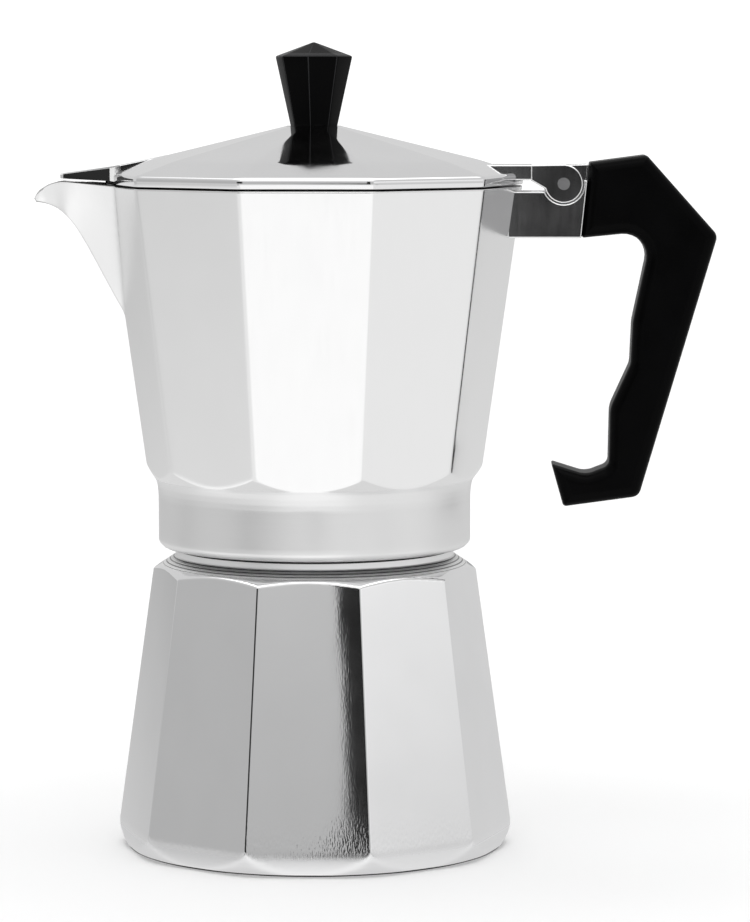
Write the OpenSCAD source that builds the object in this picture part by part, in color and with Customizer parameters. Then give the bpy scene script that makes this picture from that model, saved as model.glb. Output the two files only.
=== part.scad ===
// Ten-sided stovetop coffee maker: boiler below, pouring jug above, hinged lid.
// Millimetres. +Z up, origin at the middle of the base. The spout points to -X, the handle to +X.

/* [Boiler] */
// Corner radius of the boiler near its base
boiler_base_r = 51.9; // [51.4:0.1:52.2]
// Corner radius of the boiler under its shoulder
boiler_top_r = 42.3; // [42:0.1:42.8]
// Height of the shoulder corners
shoulder_z = 72.8; // [72.2:0.1:73.4]
// Radius of the plain band above the shoulder
neck_r = 36.4; // [36.3:0.05:36.5]
// Height of the neck's top edge
neck_top_z = 88; // [87.8:0.1:88.2]

/* [Jug] */
// Corner radius of the jug at its rim
rim_r = 54.4; // [54.2:0.1:54.8]
// Height of the rim
rim_z = 173; // [172.8:0.1:173.1]
// Radius of the round skirt
skirt_r = 40.8; // [40.6:0.1:41]
// Height of the top of the riser column inside the jug
riser_top_z = 152; // [140:1:156]
// Width of the lug that carries the hinge and the handle
lug_w = 14; // [13.9:0.1:14.4]

/* [Lid] */
// Corner radius of the lid
lid_r = 54.6; // [54.5:0.1:54.9]
// Height of the knob's tip above the base
total_z = 210; // [208:0.5:212]
// Corner radius of the knob at its widest
knob_r = 10.1; // [9.5:0.1:10.6]

/* [Handle] */
// Thickness of the handle across the pot
handle_w = 15.4; // [14:0.2:17]

/* [Valve] */
// Height of the safety valve's axis
valve_z = 50; // [46:1:54]

/* [Hidden] */
$fn = 96;

sides = 10;
eps = 0.1;            // how far a cutting shape runs past the face it cuts

// Boiler walls
base_fillet = 3.6;
foot_r = 48.2;
floor_z = 3.5;
cavity_low_r = 46;
cavity_high_r = 37.2;
cavity_high_z = 69.5;
neck_bore_r = 33.2;
shoulder_slope = 0.66;
boiler_slope = 0.1386;  // fall of the corner radius per millimetre of height

// Screw thread between the boiler and the jug
pitch = 3;
thread_turns = 1.75;
thread_z = 81;
male_crest_r = 37.3;
female_root_r = 37.7;
female_crest_r = 36.75;
steps_per_turn = 24;

// Jug
jug_slope = 0.1404;   // fall of the corner radius per millimetre of height
jug_low_z = 93.5;
skirt_low_z = 79.1;
skirt_top_z = 95.4;
skirt_chamfer = 1.4;
jug_round_below = [[41.4, 96.6], [44.2, 100.2], [45.4, 103.5], [60, 130]];   // rounds the faces' lower ends
seal_step_z = 88.6;
ceiling_z = 92.7;
seal_bore_r = 36.4;
jug_floor_z = 97;
jug_floor_r = 38.6;
jug_mouth_r = 49.2;

// Riser column, with a foot pressed into the jug's floor
riser_bore_r = 3.3;
riser_low_r = 11;
riser_high_r = 6.2;
riser_foot_r = 5.2;
riser_foot_z = 94.4;
outlet_r = 1.9;
riser_cap = 2.5;      // thickness of its closed top

// Spout, seen from the side as [x, z]
keel_points = [[-48.9, 138.5], [-60, 157.4], [-62.5, 168.2], [-72.4, 168.6]];
spout_rim = [[-73.2, 169.6], [-72.5, 170.7], [-71.4, 172], [-69.7, 173.1], [-67.7, 173.8], [-65.4, 174.2]];
spout_low_half = 1.6;    // half-width where the spout leaves the face
spout_high_half = 11.2;  // half-width at the rim
spout_low_root = 46.4;   // where its sides meet the face, below and at the rim
spout_high_root = 49.5;
spout_nose = 1.2;        // half-width of its blunt edge
spout_back = 0.8;        // how far the blunt edge stands in from the tip
spout_wall = 1.5;

// Hinge and lug
pin_x = 64.7;
pin_z = 173.6;
pin_r = 1.6;
ear_r = 5;
ear_inner = 4;        // half the slot between the lid's two ears
ear_outer = 6.8;
lug_low_z = 159.6;
lug_ledge_z = 171.6;
lug_x = 50.2;
recess_gap = 0.3;     // room round an ear in the lug's recess
boss_gap = 0.15;      // room between an ear and the boss beside it
joint_low = [69.3, 159.6];
joint_high = [71.3, 179.1];

// Handle fixing
tenon_start_x = 68;
tenon_end_x = 82;
tenon_low_z = 165.5;
tenon_high_z = 174.5;
tenon_half = 4;
screw_x = 76.4;
screw_r = 1.95;
screw_hole_r = 2.2;
screw_head_r = 3.9;
screw_head_z = 161;
head_room_r = 4.1;

// Lid
lid_low_z = 173.2;
lid_edge_z = 175.7;
seat_z = 187.9;
seat_r = 6.7;
lip_low_z = 171.8;
lip_r = 48.2;
dome_r = 46.8;
dome_low_z = 174.4;
dome_high_z = 185.4;
beak_end = [-64.9, 0, 174.55];
beak_end_r = 1.2;
beak_root = [1, 20.6, 3.2];       // size of the block that the beak grows from
beak_ridge = [1, 2, 3.4];         // size of the block under the upper end of its ridge
tab_z = [174.4, 178.4];

// Knob
knob_low_r = 6.15;
knob_turn = -6.4;
knob_edge_z = total_z - 3.6;
insert_r = 3.08;
insert_h = 10.8;
insert_bore_r = 2;

// Valve, measured outwards from the pot's axis
boss_y = 45;
boss_r = 7.5;
hex_y = 46;
hex_end_y = 51;
valve_in_y = 35.5;
seat_y = 37.5;
retainer_y = 49;

function jug_r(z) = rim_r - (rim_z - z) * jug_slope;

// Points of an arc from angle a0 to a1
function arc(c, r, a0, a1, n = 8) = [for (i = [0 : n]) c + r * [cos(a0 + (a1 - a0) * i / n),
                                                              sin(a0 + (a1 - a0) * i / n)]];

// Outline through corners [x, y, radius], each corner rounded by its own radius
function unit(v) = v / norm(v);
function turn(a) = a > 180 ? a - 360 : a < -180 ? a + 360 : a;
function corner(a, p, b, r, n) =
    let (u = unit(a - p), v = unit(b - p), h = acos(u * v) / 2,
         c = p + unit(u + v) * r / sin(h), s = p + u * r / tan(h) - c, e = p + v * r / tan(h) - c,
         a0 = atan2(s[1], s[0]), da = turn(atan2(e[1], e[0]) - a0))
    [for (i = [0 : n]) c + r * [cos(a0 + da * i / n), sin(a0 + da * i / n)]];
function xy(p) = [p[0], p[1]];
function rounded(pts, n = 5) = [for (i = [0 : len(pts) - 1])
    let (a = xy(pts[(i + len(pts) - 1) % len(pts)]), p = xy(pts[i]), b = xy(pts[(i + 1) % len(pts)]))
    each pts[i][2] == 0 ? [p] : corner(a, p, b, pts[i][2], n)];

// Cubic curve between two points with two handles
function bezier(a, b, c, d, t) = a * pow(1 - t, 3) + b * 3 * t * pow(1 - t, 2)
                               + c * 3 * t * t * (1 - t) + d * pow(t, 3);

// A side outline (x, z) given a thickness across Y
module side_plate(outline, width) rotate([90, 0, 0]) linear_extrude(width, center = true) polygon(outline);

// A frustum with flat sides between two heights
module frustum(z0, r0, z1, r1, n = sides) translate([0, 0, z0])
    cylinder(h = z1 - z0, r1 = r0, r2 = r1, $fn = n);

// A round bar along Y, from y0 to y1, at the valve's height
module valve_bar(r, y0, y1, n = 64) translate([0, y0, valve_z]) rotate([-90, 0, 0])
    cylinder(r = r, h = y1 - y0, $fn = n);

// Faces of a tube of closed rings, capped at both ends: m points a ring, n rings, and each ring
// runs counter-clockwise as seen by someone looking along the tube
function tube_faces(m, n) = concat(
    [[for (j = [m - 1 : -1 : 0]) j]],
    [for (i = [0 : n - 2], j = [0 : m - 1], k = [0, 1])
        let (a = i * m + j, b = i * m + (j + 1) % m)
        k == 0 ? [b, a + m, a] : [b + m, a + m, b]],
    [[for (j = [0 : m - 1]) (n - 1) * m + j]]);

// One thread ridge on a cylinder, fading out at both ends
module ridge(r_root, r_crest, z_start, a_start) {
    steps = steps_per_turn * thread_turns;
    fade = 4;
    up = r_crest > r_root ? 1 : -1;
    rings = [for (i = [0 : steps])
        let (a = a_start + i * 360 / steps_per_turn, z = z_start + pitch * i / steps_per_turn,
             f = min(1, (i + 1) / fade, (steps - i + 1) / fade), r = r_root + (r_crest - r_root) * f)
        each [for (p = [[r_root, -0.8], [r, -0.3], [r, 0.3], [r_root, 0.8]])
              [p[0] * cos(a), p[0] * sin(a), z + up * p[1]]]];
    polyhedron(rings, tube_faces(4, steps + 1));
}

// Holes of a strainer, in a hexagonal grid
module strainer(r, thickness, field_r, hole_r, step) {
    rows = ceil(field_r / step);
    linear_extrude(thickness) difference() {
        circle(r);
        for (i = [-rows : rows], j = [-rows : rows]) {
            p = [(i + j / 2) * step, j * step * sin(60)];
            if (norm(p) < field_r) translate(p) circle(hole_r, $fn = 8);
        }
    }
}

module boiler() color([0.80, 0.80, 0.81]) {
    difference() {
        union() {
            intersection() {
                frustum(0, boiler_base_r + 0.4, shoulder_z + 5, boiler_top_r - 5 * boiler_slope);
                rotate_extrude() polygon(concat(
                    [[0, 0]], arc([foot_r, base_fillet], base_fillet + 0.3, -90, 0),
                    [[foot_r + base_fillet + 4, base_fillet], [foot_r + base_fillet + 4, 60],
                     [boiler_top_r, shoulder_z],
                     [neck_r, shoulder_z + (boiler_top_r - neck_r) * shoulder_slope], [0, shoulder_z + 4]]));
            }
            cylinder(r = neck_r, h = neck_top_z);
            valve_bar(boss_r, 36, boss_y);
        }
        rotate_extrude() polygon([[0, floor_z], [cavity_low_r, floor_z], [cavity_high_r, cavity_high_z],
                                  [neck_bore_r, cavity_high_z + 6], [neck_bore_r, neck_top_z + eps],
                                  [0, neck_top_z + eps]]);
        valve_bar(4, 30, boss_y + eps);
    }
    ridge(neck_r - 0.6, male_crest_r, thread_z, 0);
}

module valve_body() color([0.78, 0.62, 0.30]) difference() {
    union() {
        valve_bar(6, hex_y, hex_end_y, 6);
        valve_bar(3.95, valve_in_y, hex_y + eps);
    }
    valve_bar(1.2, valve_in_y - eps, seat_y + eps);
    valve_bar(2.6, seat_y, hex_end_y + eps);
}

module valve_washer() color([0.72, 0.40, 0.24]) difference() {
    valve_bar(6.6, boss_y + 0.05, hex_y - 0.05);
    valve_bar(4.1, boss_y, hex_y);
}

module valve_piston() color([0.70, 0.70, 0.70]) {
    valve_bar(2.3, seat_y + 0.05, seat_y + 1.5);
    valve_bar(1.1, seat_y + 1, hex_end_y + 0.8);
}

module valve_spring() color([0.62, 0.63, 0.65]) {
    turns = 6;
    steps = 16 * turns;
    coil_r = 1.75;
    wire_r = 0.3;
    y0 = seat_y + 1.9;
    y1 = retainer_y - 0.35;
    rings = [for (i = [0 : steps]) let (a = i * 22.5, y = y0 + (y1 - y0) * i / steps)
             each [for (k = [0 : 5]) let (r = coil_r + wire_r * cos(k * 60))
                   [r * cos(a), y - wire_r * sin(k * 60), valve_z + r * sin(a)]]];
    polyhedron(rings, tube_faces(6, steps + 1));
}

module valve_retainer() color([0.78, 0.62, 0.30]) difference() {
    valve_bar(2.58, retainer_y, retainer_y + 1.5);
    valve_bar(1.3, retainer_y - eps, retainer_y + 2);
}

module funnel() color([0.74, 0.74, 0.75]) rotate_extrude() polygon([
    [4.6, 9.5], [4.6, 58], [31.6, 65.5], [32.4, neck_top_z + 0.05], [35.5, neck_top_z + 0.05],
    [35.5, neck_top_z + 0.9], [31.6, neck_top_z + 0.9], [30.9, 66.2], [3.8, 59], [3.8, 9.5]]);

module funnel_sieve() color([0.70, 0.70, 0.71]) translate([0, 0, 66.5]) strainer(30.6, 0.6, 27, 0.9, 6);

module gasket() color([0.90, 0.88, 0.84]) translate([0, 0, 89.05]) difference() {
    cylinder(r = 36.1, h = 2.7);
    translate([0, 0, -eps]) cylinder(r = 28, h = 2.7 + 2 * eps);
}

module filter_plate() color([0.76, 0.76, 0.77]) translate([0, 0, 91.8]) strainer(35.8, 0.8, 26, 0.8, 6);

// Outer edge of the spout seen from the side, from the jug up round the tip to the rim
function keel(t) = bezier(keel_points[0], keel_points[1], keel_points[2], keel_points[3], t);

// The spout's wedge: wall is how far its sides stand in from the outside
module spout_wedge(wall, low_t, top_z, inner_x) {
    steps = 12;
    keel_z = keel(1)[1];
    levels = concat(
        [for (i = [0 : steps]) let (p = keel(low_t + (1 - low_t) * i / steps)) p],
        [[keel(1)[0] - 0.5, keel_z + 1.3], [keel(1)[0] - 0.5, top_z]]);
    rings = [for (p = levels)
        let (f = (p[1] - keel_points[0][1]) / (rim_z - keel_points[0][1]),
             w = spout_low_half + (spout_high_half - spout_low_half) * f - wall, x = p[0] + wall * 1.5,
             xi = inner_x < 0 ? inner_x : -(spout_low_root + (spout_high_root - spout_low_root) * f),
             nose = min(spout_nose, w * 0.7))
        each [[xi, -w, p[1]], [x + spout_back, -nose, p[1]], [x, 0, p[1]], [x + spout_back, nose, p[1]],
              [xi, w, p[1]]]];
    polyhedron(rings, tube_faces(5, len(levels)));
}

module spout() intersection() {
    spout_wedge(0, 0, rim_z + 3, 0);
    side_plate(concat([[-40, 130], [spout_rim[0][0] - 3, 130]], spout_rim, [[-40, rim_z - 0.8]]), 40);
}

module lug() {
    intersection() {
        side_plate([[lug_x, lug_low_z], joint_low, [joint_low[0] + 1.54, pin_z + 1],
                    [pin_x, pin_z + 1], [pin_x, lug_ledge_z], [lug_x, lug_ledge_z]], lug_w);
        translate([0, -lug_w, 0]) cube([2 * rim_r, 2 * lug_w, total_z]);
    }
    side_plate([[pin_x, lug_ledge_z - 4], [70, lug_ledge_z - 4], joint_high - [0, 0.6],
                [pin_x, joint_high[1] - 0.6]], 2 * (ear_inner - boss_gap));
    translate([pin_x, 0, pin_z]) rotate([90, 0, 0])
        cylinder(r = ear_r, h = 2 * (ear_inner - boss_gap), center = true);
    translate([tenon_start_x, -tenon_half, tenon_low_z])
        cube([tenon_end_x - tenon_start_x, 2 * tenon_half, tenon_high_z - tenon_low_z]);
}

module collector() color([0.82, 0.82, 0.83]) {
    difference() {
        union() {
            intersection() {
                frustum(jug_low_z, jug_r(jug_low_z), rim_z, rim_r);
                rotate_extrude() polygon(concat(
                    [[0, jug_low_z], [skirt_r, jug_low_z], [skirt_r, skirt_top_z]],
                    jug_round_below, [[rim_r + 6, rim_z], [0, rim_z]]));
            }
            rotate_extrude() polygon([[0, skirt_low_z], [skirt_r - skirt_chamfer, skirt_low_z],
                                      [skirt_r, skirt_low_z + skirt_chamfer], [skirt_r, skirt_top_z],
                                      [0, jug_floor_z - 1]]);
            spout();
            lug();
        }
        rotate_extrude() polygon([[0, jug_floor_z], [jug_floor_r, jug_floor_z],
                                  [jug_mouth_r + eps * 0.14, rim_z + eps], [0, rim_z + eps]]);
        rotate_extrude() polygon([[0, skirt_low_z - eps], [female_root_r, skirt_low_z - eps],
                                  [female_root_r, seal_step_z], [seal_bore_r, seal_step_z],
                                  [seal_bore_r, ceiling_z], [30, ceiling_z],
                                  [riser_foot_r + 0.02, ceiling_z + 1.5],
                                  [riser_foot_r + 0.02, jug_floor_z + eps], [0, jug_floor_z + eps]]);
        spout_wedge(spout_wall, 0.08, rim_z + 4, -30);
        for (s = [-1, 1]) translate([pin_x, s * (ear_inner - boss_gap + 5), pin_z]) rotate([90, 0, 0])
            cylinder(r = ear_r + recess_gap, h = 10, center = true, $fn = 64);
        pin_hole(pin_r + 0.02);
        translate([screw_x, 0, tenon_low_z - eps]) cylinder(r = 2, h = 8, $fn = 48);
    }
    ridge(female_root_r + 0.5, female_crest_r, thread_z - pitch / 3, 60);
}

module riser() color([0.80, 0.80, 0.81]) difference() {
    rotate_extrude() polygon([[riser_bore_r, riser_foot_z], [riser_foot_r, riser_foot_z],
                              [riser_foot_r, jug_floor_z + 0.02], [riser_low_r, jug_floor_z + 0.02],
                              [riser_high_r + 1, jug_floor_z + 12], [riser_high_r, riser_top_z - 1],
                              [riser_high_r - 1, riser_top_z], [0, riser_top_z],
                              [0, riser_top_z - riser_cap], [riser_bore_r, riser_top_z - riser_cap]]);
    translate([0, 0, riser_top_z - 2 * riser_cap]) rotate([90, 0, 0])
        cylinder(r = outlet_r, h = 20, center = true, $fn = 32);
}

module pin_hole(r) translate([pin_x, 0, pin_z]) rotate([90, 0, 0])
    cylinder(r = r, h = 20, center = true, $fn = 48);

module hinge_pin() color([0.75, 0.75, 0.76]) translate([pin_x, 0, pin_z]) rotate([90, 0, 0])
    cylinder(r = pin_r, h = lug_w, center = true, $fn = 48);

module lid() color([0.78, 0.78, 0.79]) difference() {
    union() {
        difference() {
            union() {
                translate([0, 0, lid_low_z]) cylinder(r = lid_r, h = lid_edge_z - lid_low_z, $fn = sides);
                frustum(lid_edge_z, lid_r, seat_z, seat_r);
                translate([0, 0, lip_low_z]) cylinder(r = lip_r, h = lid_edge_z - lip_low_z);
                beak();
            }
            rotate_extrude() polygon([[0, lip_low_z - eps], [dome_r, lip_low_z - eps], [dome_r, dome_low_z],
                                      [4.5, dome_high_z], [0, dome_high_z]]);
        }
        // tab with two ears
        side_plate([[45, tab_z[0]], [pin_x - ear_r + 0.8, tab_z[0]], [pin_x, pin_z],
                    [pin_x, pin_z + ear_r - 0.1], [44.5, tab_z[1]]], 2 * ear_outer);
        translate([pin_x, 0, pin_z]) rotate([90, 0, 0])
            cylinder(r = ear_r, h = 2 * ear_outer, center = true, $fn = 64);
    }
    translate([56, -ear_inner, 160]) cube([20, 2 * ear_inner, 30]);
    pin_hole(pin_r + 0.05);
    translate([0, 0, dome_high_z - 5]) cylinder(r = screw_hole_r, h = 20, $fn = 48);
}

// The lid's point over the spout
module beak() hull() {
    translate(beak_end) cylinder(r = beak_end_r, h = 1.5, $fn = 24);
    translate([-50.5, -beak_root[1] / 2, 173.4]) cube(beak_root);
    translate([-42, -beak_ridge[1] / 2, 176]) cube(beak_ridge);
}

module knob() color([0.07, 0.07, 0.07]) rotate([0, 0, knob_turn]) difference() {
    union() {
        frustum(seat_z + 0.05, knob_low_r, knob_edge_z, knob_r, 8);
        frustum(knob_edge_z, knob_r, total_z, 0, 8);
    }
    translate([0, 0, seat_z - 1]) cylinder(r = insert_r + 0.02, h = insert_h + 1.2, $fn = 48);
}

module knob_insert() color([0.78, 0.62, 0.30]) translate([0, 0, seat_z + 0.1]) difference() {
    cylinder(r = insert_r, h = insert_h, $fn = 48);
    translate([0, 0, -eps]) cylinder(r = insert_bore_r, h = insert_h - 0.8, $fn = 48);
}

module knob_washer() color([0.70, 0.70, 0.72]) translate([0, 0, dome_high_z - 0.85]) difference() {
    cylinder(r = 4.3, h = 0.8, $fn = 48);
    translate([0, 0, -eps]) cylinder(r = screw_hole_r, h = 2, $fn = 48);
}

module knob_screw() color([0.70, 0.70, 0.72]) translate([0, 0, dome_high_z - 3.2]) difference() {
    union() {
        cylinder(r1 = 3, r2 = 3.8, h = 1, $fn = 48);
        translate([0, 0, 1]) cylinder(r = 3.8, h = 1.3, $fn = 48);
        cylinder(r = screw_r, h = 14.5, $fn = 48);
    }
    translate([-5, -0.5, -eps]) cube([10, 1, 1.3]);
}

// The handle's outline as [x, z, corner radius]
handle_outline = [[joint_high[0] + 0.1, joint_high[1], 0], [86.1, 181.1, 1.6], [104.7, 160.3, 2.6],
    [84.6, 92.3, 2.6], [65, 89.6, 1], [61.7, 101.1, 0.4], [70.8, 98.2, 6], [76.7, 100.5, 2.2],
    [77, 115.6, 8], [82.2, 127, 5], [82.7, 138, 9], [87.6, 161.4, 5.8],
    [joint_low[0] + 0.1, joint_low[1], 0]];

module handle() color([0.06, 0.06, 0.06]) difference() {
    side_plate(rounded(handle_outline), handle_w);
    translate([60, -tenon_half - eps, tenon_low_z - eps])
        cube([tenon_end_x - 60 + 2 * eps, 2 * (tenon_half + eps), tenon_high_z - tenon_low_z + 2 * eps]);
    translate([screw_x, 0, 155]) cylinder(r = screw_hole_r, h = 12, $fn = 48);
    translate([screw_x, 0, 155]) cylinder(r = head_room_r, h = 8.4, $fn = 48);
    translate([60, -ear_inner, lug_ledge_z - 5]) cube([pin_x + 6.8 - 60, 2 * ear_inner, 20]);
}

module handle_screw() color([0.70, 0.70, 0.72]) translate([screw_x, 0, screw_head_z]) difference() {
    union() {
        cylinder(r = screw_head_r, h = 2.35, $fn = 48);
        cylinder(r = screw_r, h = 11.8, $fn = 48);
    }
    translate([-5, -0.5, -eps]) cube([10, 1, 1.2]);
}

boiler();
valve_body();
valve_washer();
valve_piston();
valve_spring();
valve_retainer();
funnel();
funnel_sieve();
gasket();
filter_plate();
collector();
riser();
hinge_pin();
lid();
knob();
knob_insert();
knob_washer();
knob_screw();
handle();
handle_screw();
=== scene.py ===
"""Looks of the ten-sided stovetop coffee maker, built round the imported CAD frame.

Shapes are worked out in millimetres in the row's frame (+Z up, spout to -X, handle to +X) and
turned into metres when a mesh is made. The CAD boxes give the heights and radii to build to.
"""
import math

import bpy
import numpy as np
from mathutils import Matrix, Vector


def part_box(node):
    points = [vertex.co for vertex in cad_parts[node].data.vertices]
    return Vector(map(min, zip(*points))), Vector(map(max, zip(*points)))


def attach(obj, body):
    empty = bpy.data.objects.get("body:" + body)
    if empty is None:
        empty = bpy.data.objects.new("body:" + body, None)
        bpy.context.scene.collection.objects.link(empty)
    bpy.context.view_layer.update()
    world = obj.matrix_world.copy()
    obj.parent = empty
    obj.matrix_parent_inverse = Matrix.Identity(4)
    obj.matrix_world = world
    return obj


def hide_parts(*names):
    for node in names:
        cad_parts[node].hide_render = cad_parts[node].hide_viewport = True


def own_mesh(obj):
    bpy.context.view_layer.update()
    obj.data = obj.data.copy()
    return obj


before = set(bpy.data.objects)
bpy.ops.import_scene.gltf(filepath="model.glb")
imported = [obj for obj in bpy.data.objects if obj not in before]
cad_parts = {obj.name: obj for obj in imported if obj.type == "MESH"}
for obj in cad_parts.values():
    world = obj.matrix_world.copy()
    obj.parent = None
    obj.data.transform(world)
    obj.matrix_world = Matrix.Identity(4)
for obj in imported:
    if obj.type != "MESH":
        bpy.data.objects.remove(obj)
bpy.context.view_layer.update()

MM = 0.001
SIDES = 10


def mm_box(node):
    """A CAD node's lowest and highest corners in millimetres."""
    low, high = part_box(node)
    return np.array(low) / MM, np.array(high) / MM


def mm_centre(node):
    low, high = mm_box(node)
    return (low + high) / 2


PIN = mm_centre("hinge_pin")

# Boiler
BASE_R = 51.85          # corner radius near the base
BASE_Z = 4.0            # height at which BASE_R was measured
SHOULDER_R = 42.3       # corner radius under the shoulder
SHOULDER_Z = 72.8
SHOULDER_SLOPE = 0.66   # rise of the shoulder's cone for each millimetre inwards
FOOT_R = 48.2
BASE_FILLET = 3.8
BASE_FADE = 7.0         # height over which the faces draw in towards the round foot
BASE_DRAW = 1.0         # how far they draw in
BASE_SOFT = 10.0        # how round the corners get at the bottom
CONTACT_Z = 0.7         # below this the foot is in its own dark line of shade
NECK_R = 36.4
NECK_Z = SHOULDER_Z + (SHOULDER_R - NECK_R) * SHOULDER_SLOPE
NECK_BORE_R = 33.2
NECK_TOP = mm_box("boiler")[1][2]
CREST = 0.9             # height of a thread ridge
PITCH = 3.0
GROOVE_STEP = 0.62      # between the lathe's grooves round the shoulder
GROOVE_DEPTH = 0.06
THREAD_Z = (80.9, 86.9)

# Valve
WIRE_R = 0.3
SPRING_TURNS = 6

# Jug
RIM_Z = 173.0
RIM_R = 54.35
JUG_SLOPE = 0.1404
SKIRT_R = 40.75
SKIRT_BORE_R = 37.7
SKIRT_LOW = mm_box("collector")[0][2]
SKIRT_TOP = 92.0
BRUSHED_TOP = 96.8
# Heights, and how far the turned flare over the skirt stands out there; the faces are cut by it
FLARE = ([92.0, 93.5, 95.0, 96.2, 97.0, 100.2, 103.5, 130.0],
         [0.0, 0.08, 0.26, 0.55, 0.95, 3.4, 4.85, 19.2])
JUG_FLOOR_Z = 97.0
JUG_FLOOR_R = 38.6
JUG_MOUTH_R = 49.2
RISER_TOP = 152.0
RISER_PORT_R = 1.9

# Spout: places are (distance from the axis, height), and widths are half-widths
KEEL = [(48.9, 138.5), (60.0, 157.4), (62.5, 168.2), (72.4, 168.6)]
KEEL_START = (40.0, 123.0)
SPOUT_RIM = [(50.0, 173.0), (65.4, 174.2), (67.7, 173.8), (69.7, 173.1), (71.4, 172.0), (72.5, 170.7),
             (73.0, 169.6)]
SPOUT_TOP = 174.4
SPOUT_ROOT_X, SPOUT_ROOT_HALF = 49.5, 11.2
SPOUT_NOSE_X, SPOUT_NOSE_HALF = 70.4, 2.1
SPOUT_END_X, SPOUT_END_Z = SPOUT_RIM[-1]
SPOUT_WALL = 1.5

# Lid
LID_R = 54.5
LID_BASE = 173.35
LID_PLUG_R = 48.2       # the round lip under the lid, which sits inside the jug's mouth
SEAT_R = 6.6
SEAT_Z = 187.9
BEAK_TIP = -mm_box("lid")[0][0]
BEAK_RIDGE = ([38.0, 44.7, 52.5, BEAK_TIP], [181.0, 179.5, 177.9, 176.05])


# ---------------------------------------------------------------- numbers and outlines

def smin(a, b, k):
    """The smaller of two lengths, blended over k."""
    h = np.clip(0.5 + 0.5 * (b - a) / k, 0, 1)
    return b * (1 - h) + a * h - k * h * (1 - h)


def smax(a, b, k):
    """The larger of two lengths, blended over k."""
    return -smin(-a, -b, k)


def polygon_r(theta, corner_r, n=SIDES, bulge=0.0, blend=0.7, turn=0.0):
    """Radius of a regular polygon with its corners rounded over blend and faces that bulge a little."""
    step = 2 * np.pi / n
    flat = corner_r * math.cos(step / 2)
    off = (theta - turn) / step - 0.5
    off = (off - np.round(off)) * step
    s = np.tan(off) / math.tan(step / 2)
    here = (flat + bulge * (1 - s * s)) / np.cos(off)
    beside = flat / np.cos(step - np.abs(off))
    return smin(here, beside, blend)


def lerp(a, b, t):
    return a + (b - a) * t


def spread(*stops):
    """Heights from stop to stop: (value, number of steps to the next)."""
    out = [stops[0][0]]
    for (a, n), (b, _) in zip(stops, stops[1:]):
        out += [a + (b - a) * (i + 1) / n for i in range(n)]
    return out


def side_columns(n=SIDES, offsets=(0, .004, .012, .03, .06, .1, .16, .23, .31, .4, .5)):
    """Angles of a mesh's columns, closer together at a polygon's corners."""
    half = list(offsets)
    one = half + [1 - x for x in reversed(half[:-1])][:-1]
    return np.array([(k + t) * 2 * np.pi / n for k in range(n) for t in one])


# ---------------------------------------------------------------- meshes

def mesh_object(name, verts, faces, slots=None, smooth=True):
    mesh = bpy.data.meshes.new(name)
    mesh.from_pydata([tuple(v) for v in np.asarray(verts, float) * MM], [], faces)
    if slots is not None:
        mesh.polygons.foreach_set("material_index", slots)
    mesh.polygons.foreach_set("use_smooth", [smooth] * len(mesh.polygons))
    mesh.update()
    obj = bpy.data.objects.new(name, mesh)
    bpy.context.scene.collection.objects.link(obj)
    return obj


def ring_mesh(name, rings, bands=None):
    """A closed skin through rings of points; the first and last rings shrink to a point each.

    rings is rows x columns x 3. bands gives the material slot of each row of faces."""
    rows, cols = rings.shape[:2]
    verts = list(rings[1:-1].reshape(-1, 3))
    start, end = len(verts), len(verts) + 1
    verts += [rings[0].mean(0), rings[-1].mean(0)]
    bands = bands or [0] * (rows - 1)
    faces, slots = [], []
    for j in range(cols):
        k = (j + 1) % cols
        faces.append((start, k, j))
        slots.append(bands[0])
        last = (rows - 3) * cols
        faces.append((end, last + j, last + k))
        slots.append(bands[-1])
    for i in range(rows - 3):
        for j in range(cols):
            k = (j + 1) % cols
            faces.append((i * cols + j, i * cols + k, (i + 1) * cols + k, (i + 1) * cols + j))
            slots.append(bands[i + 1])
    return mesh_object(name, verts, faces, slots)


def at(theta, r, z):
    """Points at polar angles theta, radii r and heights z."""
    r, z = np.broadcast_to(r, theta.shape), np.broadcast_to(z, theta.shape)
    return np.stack([r * np.cos(theta), r * np.sin(theta), z], -1)


def turned(theta, path):
    """Round rings through (radius, height) points."""
    return [at(theta, r, z) for r, z in path]


def corner_arc(a, p, b, r, n):
    """Points of the arc of radius r that rounds the corner p between a and b."""
    a, p, b = (np.array(q, float) for q in (a, p, b))
    u, v = (a - p) / np.linalg.norm(a - p), (b - p) / np.linalg.norm(b - p)
    half = math.acos(float(np.clip(u @ v, -1, 1))) / 2
    mid = (u + v) / np.linalg.norm(u + v)
    centre = p + mid * r / math.sin(half)
    s, e = p + u * r / math.tan(half) - centre, p + v * r / math.tan(half) - centre
    first = math.atan2(s[1], s[0])
    sweep = (math.atan2(e[1], e[0]) - first + math.pi) % (2 * math.pi) - math.pi
    angles = [first + sweep * i / n for i in range(n + 1)]
    return [centre + r * np.array([math.cos(a), math.sin(a)]) for a in angles]


def rounded(corners, n=6):
    """Points of an outline whose corners [x, z, radius] are rounded."""
    out = []
    for i, (x, z, r) in enumerate(corners):
        before, after = corners[i - 1][:2], corners[(i + 1) % len(corners)][:2]
        out += corner_arc(before, (x, z), after, max(r, 0.02), n)
    return np.array(out)


def inset(corners, d):
    """The outline's corners moved in by d, with each radius adjusted to stay parallel."""
    out = []
    for i, corner in enumerate(corners):
        r = corner[2]
        a, p, b = (np.array(corners[k % len(corners)][:2], float) for k in (i - 1, i, i + 1))
        u, v = (p - a) / np.linalg.norm(p - a), (b - p) / np.linalg.norm(b - p)
        n1, n2 = np.array([-u[1], u[0]]), np.array([-v[1], v[0]])
        m = (n1 + n2) / (1 + n1 @ n2)
        convex = u[0] * v[1] - u[1] * v[0] > 0
        out.append((*(p + m * d), max(r - d, 0.05) if convex else r + d))
    return out


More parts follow.
